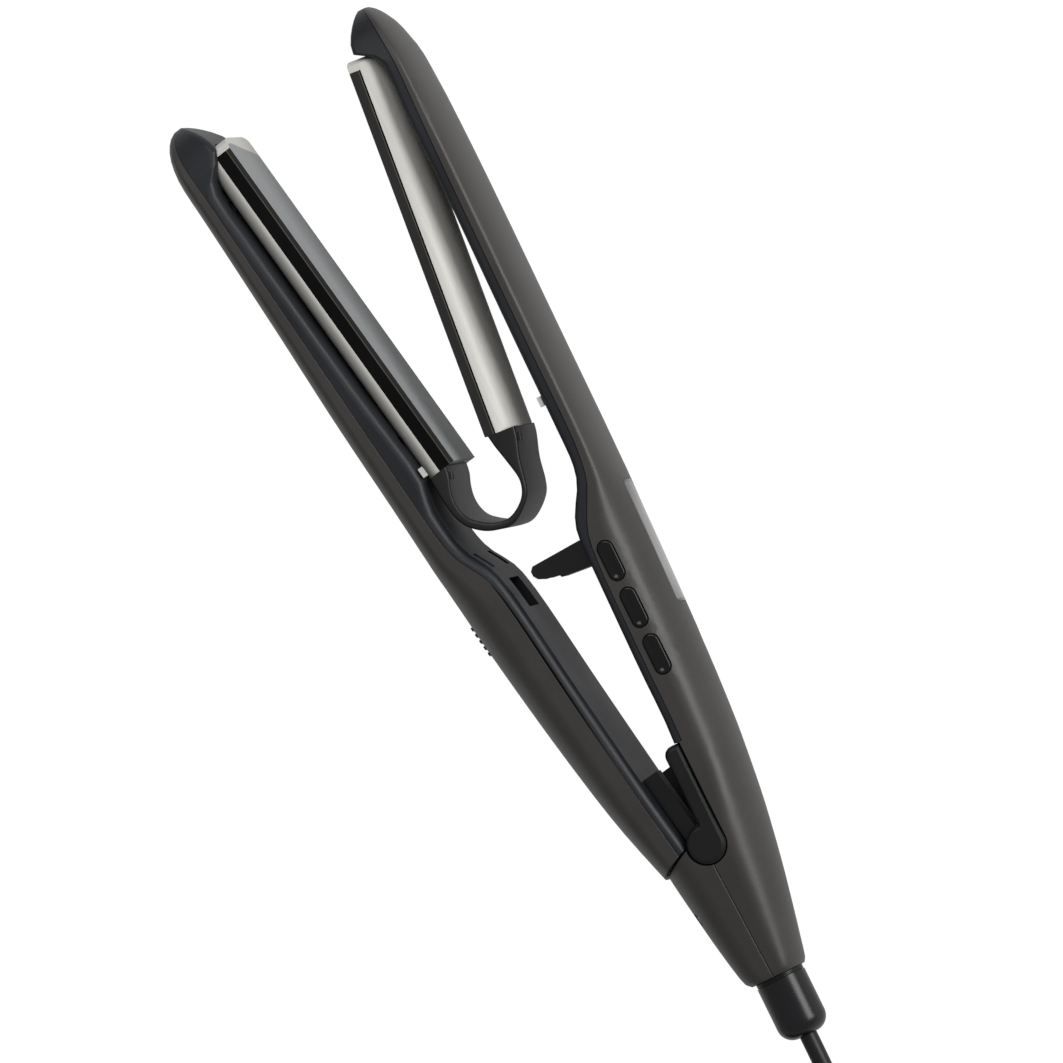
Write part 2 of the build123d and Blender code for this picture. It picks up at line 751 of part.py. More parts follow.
def torsion_spring():
    """The opening spring: one wire wound round the pin, with a leg on each arm."""
    radius = pin_radius + spring_gap + spring_wire / 2
    turns = spring_turns + (180 - lever_open_angle) / 360
    pitch = (spring_room - 2 * spring_wire) / turns
    low = mid_z - pitch * turns / 2
    slope = pitch / (2 * math.pi * radius)
    leg = knuckle_length - 8
    coil = Pos(0, 0, low) * Rot(0, 0, 180 + lever_open_angle) * Helix(pitch, pitch * turns, radius)
    angle = math.radians(lever_open_angle)
    start = (-radius * math.cos(angle), -radius * math.sin(angle))
    leg_end = (start[0] - leg * math.sin(angle), start[1] + leg * math.cos(angle))
    first = Line((*leg_end, low - leg * slope), (*start, low))
    last = Line((radius, 0, low + pitch * turns), (radius, leg, low + pitch * turns + leg * slope))
    print("spring gap between turns", round(pitch * math.cos(math.atan(slope)) - spring_wire, 2))
    path = Wire([first, coil, last])
    plane = Plane(origin=path @ 0, z_dir=path % 0)
    return sweep(plane * Circle(spring_wire / 2), path=path, is_frenet=True)


def controls():
    """Buttons, switches, boards and the display module."""
    top = body_width + button_proud
    for i, name in enumerate(("power_button", "minus_button", "plus_button")):
        y = button_first_y + i * button_pitch
        body = extrude(button_outline(0, y, flange_top - 0.1), amount=top - flange_top + 0.1)
        body = fillet(body.faces().sort_by(Axis.Z)[-1].edges(), button_rim)
        dish = loft([button_outline(-1.7, y, top - button_dish), button_outline(-0.8, y, top + 0.02)])
        flange = extrude(button_outline(button_flange, y, flange_top - button_flange), amount=button_flange)
        write(body + flange - dish, name)
    switch_top = flange_top - button_flange - button_travel - switch_gap
    board_z = switch_top - switch_height
    switches = []
    for i in range(3):
        y = button_first_y + i * button_pitch
        base = block(
            (button_x - switch_size / 2, button_x + switch_size / 2),
            (y - switch_size / 2, y + switch_size / 2),
            (board_z, switch_top - 0.6),
        )
        switches.append(base + rod_z(switch_size / 4, button_x, y, (switch_top - 0.7, switch_top)))
    write(Compound(children=switches), "tact_switches")
    button_board = block(
        (button_x - 3, control_board_x - board_seat),
        (button_first_y - 7, button_first_y + 2 * button_pitch + 7),
        (board_z - board_thickness, board_z),
    )
    write(button_board, "button_board")
    board = block(
        (control_board_x, control_board_x + board_thickness),
        (board_start_y, board_start_y + board_length),
        (mid_z - board_half, mid_z + board_half),
    )
    write(board, "control_board")
    half = display_width / 2 - 1.6
    module = block(
        (control_board_x + board_thickness, display_module_top),
        (display_start_y + 1.6, display_start_y + display_length - 1.6),
        (mid_z - half, mid_z + half),
    )
    write(module, "display_module")


def latch_prong():
    """The prong on the main arm, with a recess in its head for the lock's finger."""
    foot_x, root, tip = prong_foot_x, prong_root_y, prong_reach
    outline = [
        (foot_x, root),
        (-1.0, root + 0.9),
        (-6.4, root + 1.5),
        (-6.6, root + 2.2),
        (tip + 3.2, root + 3.0),
        (tip + 1.0, root + 4.0),
        (tip, root + 5.4),
        (tip, root + 6.9),
        (tip + 1.1, root + 8.1),
        (foot_x, root + prong_length),
        (foot_x, root),
    ]
    prong = Pos(0, 0, mid_z - prong_width / 2) * extrude(make_face(Polyline(*outline)), prong_width)
    half = prong_foot_width / 2
    foot_span = (root - prong_foot_reach, root + prong_length + prong_foot_reach)
    foot = block((foot_x, foot_x + prong_foot), foot_span, (mid_z - half, mid_z + half))
    recess = block((finger_x - finger_thickness - 0.5, finger_x + 0.5), (root, root + 6.2), (mid_z - 2.6, mid_z + 2.6))
    write(prong + foot - recess, "latch_prong")


def lock_slider():
    """The lock on the lever arm: a ribbed pad outside, a plate under the shell and a finger."""
    end_y = slider_start_y + slider_length
    half = slider_width / 2
    start_y = slider_start_y - 4
    skin = lofted(lever_stations, start_y, end_y + 4, lambda v: shell_section(v, shell_wall))
    proud = lofted(
        lever_stations, start_y, end_y + 4, lambda v: shell_section(v, shell_wall + slider_rib, grow=slider_rib)
    )
    pad = skin & block((-40, -12), (slider_start_y, end_y), (mid_z - half, mid_z + half))
    pitch = slider_length / slider_ribs
    for i in range(slider_ribs):
        start = slider_start_y + (i + 0.3) * pitch
        pad = pad + (proud & block((-40, -12), (start, start + 0.45 * pitch), (mid_z - half, mid_z + half)))
    inner_x = slider_inner_x
    plate = block((inner_x, inner_x + 1.4), (slider_start_y - 3, end_y + 3), (mid_z - half - 2.5, mid_z + half + 2.5))
    neck = block((inner_x - 2.4, inner_x + 0.1), (slider_start_y + 1, end_y - 1), (mid_z - 4, mid_z + 4))
    stem = block((inner_x + 1.3, finger_x), (slider_start_y + 1.5, slider_start_y + 4.5), (mid_z - 3, mid_z + 3))
    finger = block(
        (finger_x - finger_thickness, finger_x), (slider_start_y + 4, slider_start_y + 7), (mid_z - 2, mid_z + 2)
    )
    write(lever(pad + plate + neck + stem + finger), "lock_slider")


def lever_arm_casing():
    """The lever arm's outer shell and inner cover."""
    front = lever_stations
    wall_y = front[0][0] + 5.5
    shell = lofted(front, front[0][0], wall_y, solid_section)
    shell = shell + lofted(front, wall_y, hollow_end_y, lambda v: shell_section(v, shell_wall))
    shell = shell + lofted(front, hollow_end_y, front[-1][0], solid_section)
    within = lofted(front, 30, hollow_end_y + 4, lambda v: solid_section(v, grow=-shell_wall / 2))
    for boss in screw_bosses(-1, within):
        shell = shell + boss
    shell = shell - lever_ear_hole
    for hole in screw_holes(-1):
        shell = shell - hole
    half = slider_width / 2 + moving_gap
    slot_end_y = slider_start_y + slider_length + slider_travel + moving_gap
    shell = shell - block((-40, -15), (slider_start_y - moving_gap, slot_end_y), (mid_z - half, mid_z + half))

    cover = lofted(front, front[0][0], wall_y, lambda v: cover_section(v, False))
    cover = cover + lofted(front, wall_y, hollow_end_y, lambda v: cover_section(v, True))
    cover = cover + lofted(front, hollow_end_y, front[-1][0], lambda v: cover_section(v, False))
    cover = cover - lever_ear_hole - cartridge_form(-1, channel_gap) - heater_pocket(-1)
    half = slot_width / 2
    cover = cover - block((-20, 10), (slot_start_y, slot_start_y + slot_length), (mid_z - half, mid_z + half))
    for offset in (-vent_offset, vent_offset):
        middle = mid_z + offset
        vent = block((-20, 10), (vent_start_y, vent_start_y + vent_length), (middle - vent_half, middle + vent_half))
        cover = cover - vent
    for hole in screw_holes(-1):
        cover = cover - hole
    write(largest(lever(shell) & in_front(arm_gap)), "lever_outer_shell")
    write(largest(lever(cover) & in_front(arm_gap)), "lever_inner_cover")
    write(lever(Compound(children=cover_screws(-1))), "lever_cover_screws")


def plate_outline():
    """A plate's outline from its yoke to its slanted tip: y, then distance from mid width."""
    half = plate_width / 2
    end_y = plate_start_y + plate_length
    return [
        (plate_start_y, -half),
        (end_y - 4.7, -half),
        (end_y, half - 5.2),
        (end_y, half - 1.5),
        (end_y - 1.5, half),
        (plate_start_y, half),
        (plate_start_y, -half),
    ]


def plate_slab(low_x, high_x, outline=None):
    """The plate's outline as a slab between two values of x."""
    points = [(0, y, mid_z + z) for y, z in (outline or plate_outline())]
    face = make_face(Polyline(*points))
    slab = extrude(face, amount=abs(high_x - low_x), dir=(1, 0, 0))
    return Pos(min(low_x, high_x), 0, 0) * slab


def cartridge_half(side, swing, name):
    """One half of the plate cartridge: plate, trim line, side strip, barrel, cap and heat core."""
    near, plate_back, trim_back, strip_back, _ = half_faces(side)
    depth = halves[side][2]
    half = plate_width / 2
    barrel_end_y = plate_start_y + plate_length - 4.5
    write(swing(plate_slab(near, plate_back)), f"{name}_plate")
    write(swing(plate_slab(plate_back, trim_back)), f"{name}_plate_trim")
    write(swing(plate_slab(trim_back, strip_back)), f"{name}_side_strip")
    form = cartridge_form(side)
    behind = block((strip_back, side * 60), (plate_start_y, barrel_end_y), (-1, body_width + 1))
    room = extrude(
        across(barrel_end_y - barrel_wall)
        * half_outline(side, half - barrel_wall, depth - barrel_wall, strip_back, strip_back + side * 0.01),
        barrel_end_y - plate_start_y - 2 * barrel_wall,
    )
    write(swing(largest((form & behind) - room)), f"{name}_barrel")
    cap = form & block((-60, 60), (barrel_end_y, 300), (-1, body_width + 1))
    cap = cap - plate_slab(near, strip_back)
    write(swing(largest(cap)), f"{name}_tip_cap")
    core = block(
        (strip_back, strip_back + side * core_height),
        (plate_start_y + 2, barrel_end_y - 2),
        (mid_z - core_width / 2, mid_z + core_width / 2),
    )
    write(swing(core), f"{name}_heat_core")


def loop():
    """The flexible loop that joins the two halves of the cartridge, and the yoke at each end."""
    outer = [
        (3.2, 135.6), (2.3, 131.6), (-0.2, 124.3), (-1.6, 117.7), (-3.2, 113.9), (-6.9, 110.4), (-10.9, 108.5),
        (-15.7, 109.1), (-19.7, 110.8), (-23.5, 114.1), (-25.4, 118.0), (-26.3, 122.4), (-26.8, 126.9), (-27.4, 135.0),
    ]
    inner = [
        (-6.4, 136.4), (-5.6, 131.9), (-3.9, 124.7), (-3.1, 120.4), (-3.4, 117.4), (-4.8, 114.5), (-7.6, 112.1),
        (-11.1, 110.7), (-14.9, 111.3), (-18.2, 113.0), (-21.5, 115.8), (-23.0, 119.0), (-23.3, 122.6),
        (-22.6, 126.1), (-21.2, 129.7), (-20.7, 135.2),
    ]
    face = make_face(
        [Spline(*outer), Line(outer[-1], inner[-1]), Spline(*inner), Line(inner[0], outer[0])]
    )
    strap = Pos(0, 0, mid_z - plate_width / 2) * extrude(face, amount=plate_width)
    whole = (-1, body_width + 1)
    upper_box = hooked(block((plate_plane_x - 3, plate_plane_x + 16), (yoke_start_y, plate_start_y), whole))
    lower_box = lever(block((plate_plane_x - 16, plate_plane_x + 3), (yoke_start_y, plate_start_y), whole))
    beyond = hooked(block((plate_plane_x - 3, plate_plane_x + 20), (yoke_start_y, 160), whole))
    beyond = beyond + lever(block((plate_plane_x - 20, plate_plane_x + 3), (yoke_start_y, 160), whole))
    write(largest(strap & upper_box), "upper_yoke")
    write(largest(strap & lower_box), "lower_yoke")
    write(largest(strap - beyond), "flex_loop")


def heating():
    """The heaters on the channel floors, with their spreaders, and the thermal fuse."""
    for side, swing, name in ((1, main, "main"), (-1, lever, "lever")):
        floor = channel_x(side) + side * (channel_floor + 0.05)
        back = floor + side * spreader_thickness
        half = heater_width / 2
        span = (heater_start_y, heater_start_y + heater_length)
        spreader = block((floor, back), (span[0], span[1] + 2), (mid_z - half - 1, mid_z + half + 1))
        write(swing(spreader), f"{name}_heat_spreader")
        heater = block((back, back + side * heater_thickness), span, (mid_z - half, mid_z + half))
        write(swing(heater), f"{name}_heater")
    floor_x = between_stations(main_stations, fuse_y + fuse_length)[3] + lap_height
    fuse_x = floor_x + 0.05 + fuse_radius
    write(rod_y(fuse_radius, fuse_x, mid_z, (fuse_y, fuse_y + fuse_length)), "thermal_fuse")


def clip_catches():
    """The small catches on the rim of each arm that hold the cartridge."""
    for side, swing, name in ((1, main, "main"), (-1, lever, "lever")):
        x = catch_faces[side]
        catches = []
        for z in (-1, 1):
            edge = (mid_z + z * (plate_width / 2 + catch_gap), mid_z + z * (plate_width / 2 + catch_gap + catch_width))
            catches.append(block((x, x - side * catch_height), (catch_y, catch_y + catch_length), edge))
        write(swing(Compound(children=catches)), f"{name}_clip_catches")


def least_gap(path, radius, step):
    """The least gap between a tube and itself, on points that lie along its path."""
    count = int(path.length / step)
    points = [path.position_at(i / count) for i in range(count + 1)]
    apart = int(6 * radius / step) + 1
    least = 1000.0
    for i, a in enumerate(points):
        for b in points[i + apart:]:
            if abs(a.X - b.X) < least and abs(a.Y - b.Y) < least:
                least = min(least, (a - b).length)
    return least - 2 * radius


def coil_path():
    """The put-away coil: a spiral in on top, a half turn down, and a spiral out below."""
    edges = []
    x = coil_x + coil_inner_radius + coil_turns * coil_pitch
    edges.append(Line((x, coil_y + cord_width, coil_top_z), (x, coil_y, coil_top_z)))
    outer_radius = coil_inner_radius + coil_turns * coil_pitch
    direction = -1
    radii = [outer_radius - k * coil_pitch / 2 for k in range(2 * coil_turns)]
    for radius in radii:
        far_x = x + direction * 2 * radius
        edges.append(
            ThreePointArc(
                (x, coil_y, coil_top_z),
                ((x + far_x) / 2, coil_y + direction * radius, coil_top_z),
                (far_x, coil_y, coil_top_z),
            )
        )
        x = far_x
        direction = -direction
    radius = coil_inner_radius
    low_point = (x - radius, coil_y - radius, (coil_top_z + coil_low_z) / 2)
    quarter = TangentArc((x, coil_y, coil_top_z), low_point, tangent=(0, -1, 0))
    x = x - 2 * radius
    edges += [quarter, TangentArc(low_point, (x, coil_y, coil_low_z), tangent=quarter % 1)]
    direction = 1
    for radius in reversed(radii):
        far_x = x + direction * 2 * radius
        edges.append(
            ThreePointArc(
                (x, coil_y, coil_low_z),
                ((x + far_x) / 2, coil_y + direction * radius, coil_low_z),
                (far_x, coil_y, coil_low_z),
            )
        )
        x = far_x
        direction = -direction
    edges.append(Line((x, coil_y, coil_low_z), (x, coil_y + cord_width, coil_low_z)))
    return Wire(edges)


def cord():
    """The cord: a short free run, the put-away coil, and the mains plug."""
    sleeve_end_y = tail_end_y - collar_length - moving_gap - sleeve_length
    start_x = coil_x + coil_inner_radius + coil_turns * coil_pitch
    coil_start_y = coil_y + cord_width
    points = [
        (sleeve_axis_x, sleeve_end_y, mid_z),
        (sleeve_axis_x, sleeve_end_y - 11.4, mid_z),
        (-2.4, -86.0, 14.6),
        (-3.6, -98.5, 10.6),
        (start_x, -109.5, coil_top_z),
        (start_x, coil_start_y, coil_top_z),
    ]
    run = route(points, "cord run")
    run_tube = tube(run, cord_width / 2)
    print("cord run volume share", round(run_tube.volume / (math.pi * cord_width**2 / 4 * run.length), 4))
    write(run_tube, "cord_run")
    coil = coil_path()
    coil_tube = tube(coil, cord_width / 2)
    print("coil length", round(coil.length), "least gap", round(least_gap(coil, cord_width / 2, 1.0), 2))
    print("coil volume share", round(coil_tube.volume / (math.pi * cord_width**2 / 4 * coil.length), 4))
    write(coil_tube, "cord_coil")

    plug_x = coil_x - coil_inner_radius - coil_turns * coil_pitch
    write(rod_y(cord_width / 2, plug_x, coil_low_z, (coil_start_y, plug_relief_y)), "cord_tail")
    print("whole cord", round(run.length + coil.length + plug_relief_y - coil_start_y))
    plug_z = plug_height / 2
    relief_end_y = plug_relief_y + plug_relief_length
    relief = loft(
        [
            level(plug_x, plug_relief_y, coil_low_z) * Circle(cord_width / 2),
            level(plug_x, relief_end_y, plug_z) * Circle(relief_radius),
        ]
    )
    write(relief, "plug_relief")
    body_end_y = relief_end_y + plug_length
    neck = level(plug_x, relief_end_y, plug_z) * RectangleRounded(2 * relief_radius, 2 * relief_radius, 3.6)
    middle = level(plug_x, relief_end_y + 0.55 * plug_length, plug_z) * RectangleRounded(
        0.86 * plug_width, plug_height, 5.2
    )
    face = level(plug_x, body_end_y, plug_z) * RectangleRounded(plug_width, plug_height, 5.6)
    write(loft([neck, middle], ruled=True) + loft([middle, face], ruled=True), "plug_body")
    pins = [
        rod_y(pin_plug_radius, plug_x + x, plug_z, (body_end_y, body_end_y + pin_plug_length))
        for x in (-pin_plug_pitch / 2, pin_plug_pitch / 2)
    ]
    write(Compound(children=pins), "plug_pins")


def level(x, y, z):
    """The upright plane across Y at a point, seen from the tip."""
    return Plane(origin=(x, y, z), x_dir=(1, 0, 0), z_dir=(0, -1, 0))


def cord_swivel():
    """The ring, bushing and sleeve that the cord turns in, with the slip rings that feed it."""
    ring_end_y = tail_end_y - collar_length
    neck_gap = sleeve_neck_radius + moving_gap
    ring = rod_y(ring_radius, sleeve_axis_x, mid_z, (ring_end_y, tail_end_y))
    write(ring - rod_y(neck_gap, sleeve_axis_x, mid_z, (ring_end_y - 1, tail_end_y + 1)), "swivel_ring")
    bushing_end_y = tail_end_y + bushing_length
    bushing = rod_y(bushing_radius, sleeve_axis_x, mid_z, (tail_end_y, bushing_end_y))
    bushing_bore = rod_y(
        sleeve_neck_radius + running_fit, sleeve_axis_x, mid_z, (tail_end_y - 1, bushing_end_y + 1)
    )
    write(bushing - bushing_bore, "swivel_bushing")
    start_y = ring_end_y - moving_gap
    sleeve = rod_y(sleeve_radius, sleeve_axis_x, mid_z, (start_y - sleeve_length, start_y))
    sleeve = fillet(sleeve.faces().sort_by(Axis.Y)[0].edges(), sleeve_dome)
    flange_y = bushing_end_y + moving_gap
    sleeve = sleeve + rod_y(sleeve_neck_radius, sleeve_axis_x, mid_z, (start_y - 0.1, flange_y + 0.1))
    sleeve = sleeve + rod_y(flange_radius, sleeve_axis_x, mid_z, (flange_y, flange_y + flange_length))
    write(sleeve, "cord_sleeve")
    block_y = flange_y + flange_length + moving_gap
    slip_block = rod_y(slip_block_radius, sleeve_axis_x, mid_z, (block_y, block_y + slip_block_length))
    write(slip_block, "slip_ring_block")
    rings = []
    for i in range(2):
        low = block_y + 2.4 + i * 4.6
        band = rod_y(slip_block_radius + slip_ring_height, sleeve_axis_x, mid_z, (low, low + slip_ring_width))
        rings.append(band - slip_block)
    write(Compound(children=rings), "slip_rings")
    leads_y = block_y + slip_block_length + 0.4
    for_lead = [
        (sleeve_axis_x, leads_y), (1.2, -17.0), (9.6, -9.5), (12.0, 5.0), (12.5, 20.0), (14.8, 33.0),
        (14.8, board_start_y),
    ]
    leads = []
    for z in (-lead_offset, lead_offset):
        path = route([(x, y, mid_z + z) for x, y in for_lead], "lead")
        leads.append(tube(path, lead_width / 2))
    write(Compound(children=leads), "supply_leads")


main_arm_casing()
hinge()
controls()
latch_prong()
lock_slider()
lever_arm_casing()
cartridge_half(1, hooked, "upper")
cartridge_half(-1, lever, "lower")
loop()
heating()
clip_catches()
cord_swivel()
cord()
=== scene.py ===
import json
import math

import bmesh
import bpy
from mathutils import Matrix, Vector

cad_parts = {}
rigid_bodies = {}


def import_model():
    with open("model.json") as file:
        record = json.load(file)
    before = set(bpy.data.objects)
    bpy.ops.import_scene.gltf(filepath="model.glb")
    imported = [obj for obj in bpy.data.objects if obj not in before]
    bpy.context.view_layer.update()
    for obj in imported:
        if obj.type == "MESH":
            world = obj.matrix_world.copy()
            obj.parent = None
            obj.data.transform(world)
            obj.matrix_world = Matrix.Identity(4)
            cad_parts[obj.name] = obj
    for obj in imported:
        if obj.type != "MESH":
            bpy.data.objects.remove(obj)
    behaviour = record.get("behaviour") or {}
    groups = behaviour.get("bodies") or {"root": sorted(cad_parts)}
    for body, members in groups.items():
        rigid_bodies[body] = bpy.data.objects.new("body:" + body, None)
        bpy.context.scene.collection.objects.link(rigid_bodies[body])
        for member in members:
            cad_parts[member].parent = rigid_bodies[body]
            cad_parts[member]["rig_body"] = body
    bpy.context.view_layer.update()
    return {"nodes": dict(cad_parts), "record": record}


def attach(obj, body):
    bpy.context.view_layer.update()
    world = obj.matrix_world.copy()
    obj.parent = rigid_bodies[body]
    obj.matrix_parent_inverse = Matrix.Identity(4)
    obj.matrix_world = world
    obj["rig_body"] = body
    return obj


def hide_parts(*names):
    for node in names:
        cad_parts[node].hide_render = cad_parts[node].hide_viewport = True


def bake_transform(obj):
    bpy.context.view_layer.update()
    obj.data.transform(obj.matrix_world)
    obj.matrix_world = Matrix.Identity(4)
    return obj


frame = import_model()
MM = 0.001


def point(x, y, z):
    """A point given in millimetres."""
    return Vector((x * MM, y * MM, z * MM))


def link_object(name, data):
    """A new object in the scene."""
    made = bpy.data.objects.new(name, data)
    bpy.context.scene.collection.objects.link(made)
    return made


# Camera: above the tool, a little towards the main arm's outward side and its tail
NEAR_FACE = point(0, 0, 34)
VIEW_BACK = Vector((0.227, -0.06, 0.972)).normalized()
UP_ON_FRAME = (-0.440, 0.898)
NEAR_FACE_PIXEL = (705.6, 844.3)
FRAME_PIXELS = 1063
PIXELS_PER_M = 3450.0
DISTANCE = 3.0
SENSOR_WIDTH = 36.0
FARTHEST_SEEN = 20.0


def make_camera():
    """The camera at the photograph's angle, with a long lens."""
    along = (Vector((0, 1, 0)) - VIEW_BACK * VIEW_BACK.y).normalized()
    across = along.cross(VIEW_BACK)
    right = across * UP_ON_FRAME[1] + along * UP_ON_FRAME[0]
    up = along * UP_ON_FRAME[1] - across * UP_ON_FRAME[0]
    centre = NEAR_FACE - right * ((NEAR_FACE_PIXEL[0] - FRAME_PIXELS / 2) / PIXELS_PER_M)
    centre = centre + up * ((NEAR_FACE_PIXEL[1] - FRAME_PIXELS / 2) / PIXELS_PER_M)
    data = bpy.data.cameras.new("camera")
    data.sensor_width = SENSOR_WIDTH
    data.lens = SENSOR_WIDTH * DISTANCE / (FRAME_PIXELS / PIXELS_PER_M)
    data.clip_end = FARTHEST_SEEN
    camera = link_object("camera", data)
    turn = Matrix((right, up, VIEW_BACK)).transposed().to_4x4()
    camera.matrix_world = Matrix.Translation(centre + VIEW_BACK * DISTANCE) @ turn
    bpy.context.scene.camera = camera


# Cord, in metres: the free run, the put-away coil in two layers, and the tail to the plug
CORD_DIAMETER = 0.0054
CORD_RING_STEPS = 6
CORD_LENGTH_STEPS = 6
COIL_CENTRE = (-0.0496, -0.125)
COIL_INNER = 0.0216
COIL_PITCH = 0.00585
COIL_TURNS = 4
COIL_TOP = 0.00855
COIL_LOW = 0.0027
COIL_STEPS = 8
RUN_POINTS = [
    (-0.0014, -0.0624, 0.017),
    (-0.0014, -0.0738, 0.017),
    (-0.0024, -0.0860, 0.0146),
    (-0.0036, -0.0985, 0.0106),
    (-0.0046, -0.1095, 0.00855),
]
TAIL_END = (-0.0946, -0.1108, 0.0027)


def half_turn(points, x, side, radius, low, high):
    """Adds the control points of one half turn of the coil, and gives the x where it ends."""
    centre = x + side * radius
    stretch = radius / math.cos(math.pi / COIL_STEPS / 2)
    for i in range(COIL_STEPS):
        angle = math.pi * (i + 0.5) / COIL_STEPS
        points.append((
            centre - side * stretch * math.cos(angle),
            COIL_CENTRE[1] + side * stretch * math.sin(angle),
            low + (high - low) * (0.5 - 0.5 * math.cos(angle)),
        ))
    return x + 2 * side * radius


def cord_points():
    """The whole cord: the free run, the spiral in on top, the spiral out below and the tail."""
    radii = [COIL_INNER + (COIL_TURNS - k / 2) * COIL_PITCH for k in range(2 * COIL_TURNS)]
    x = COIL_CENTRE[0] + radii[0]
    points = list(RUN_POINTS) + [(x, COIL_CENTRE[1] + CORD_DIAMETER, COIL_TOP)]
    layers = [(radius, COIL_TOP, COIL_TOP) for radius in radii]
    layers.append((COIL_INNER, COIL_TOP, COIL_LOW))
    layers += [(radius, COIL_LOW, COIL_LOW) for radius in reversed(radii)]
    side = -1
    for radius, low, high in layers:
        x = half_turn(points, x, side, radius, low, high)
        side = -side
    points.append((x, COIL_CENTRE[1] + CORD_DIAMETER, COIL_LOW))
    return points + [TAIL_END]


def make_cord():
    """The mains cord as one smooth curve. Its thickness is its points' radius, so that its box fits it."""
    data = bpy.data.curves.new("mains_cord", "CURVE")
    data.dimensions = "3D"
    data.bevel_depth = 1.0
    data.bevel_resolution = CORD_RING_STEPS
    data.resolution_u = CORD_LENGTH_STEPS
    data.use_fill_caps = True
    points = cord_points()
    spline = data.splines.new("NURBS")
    spline.points.add(len(points) - 1)
    for target, source in zip(spline.points, points):
        target.co = (*source, 1.0)
        target.radius = CORD_DIAMETER / 2
    spline.order_u = 3
    spline.use_endpoint_u = True
    cord = link_object("mains_cord", data)
    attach(cord, "main_arm")
    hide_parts("cord_run", "cord_coil", "cord_tail")
    return cord


def srgb(red, green, blue):
    """A colour from 0 to 255 per channel, as the shader takes it."""
    return tuple(
        ((v / 255 + 0.055) / 1.055) ** 2.4 if v > 10 else v / 255 / 12.92
        for v in (red, green, blue)
    )


def computed(tree, operation, *values):
    """A calculation on outputs and plain numbers."""
    made = tree.nodes.new("ShaderNodeMath")
    made.operation = operation
    for socket, value in zip(made.inputs, values):
        if isinstance(value, float):
            socket.default_value = value
        else:
            tree.links.new(value, socket)
    return made.outputs["Value"]


def ranged(tree, value, source=(0.0, 1.0), target=(0.0, 1.0)):
    """A value brought from one range to another, and held inside it."""
    made = tree.nodes.new("ShaderNodeMapRange")
    made.inputs["From Min"].default_value, made.inputs["From Max"].default_value = source
    made.inputs["To Min"].default_value, made.inputs["To Max"].default_value = target
    tree.links.new(value, made.inputs["Value"])
    return made.outputs["Result"]


# Noise for the surfaces: scale and detail, then roughness where it isn't the usual one
GRAIN = (2600.0, 2.0, 0.6)
LINES = (900.0, 4.0, 0.7)
PLASTIC_PATCHES = (38.0, 3.0)
METAL_PATCHES = (30.0, 2.0)
LENS_PATCHES = (22.0, 2.0)
# Where a range of tones or roughness begins and ends in the noise, or in the distance from a track
PATCH_ENDS = (0.3, 0.7)
LINE_ENDS = (0.25, 0.75)
TRACK_ENDS = (0.02, 0.08)
GRAIN_DEPTH = 0.00004
LINE_DEPTH = 0.00003
TRACK_DEPTH = 0.0001
# How much of a plastic's tone comes from its grain, and how much from its patches
GRAIN_SHARE = 0.45
PATCH_SHARE = 0.55


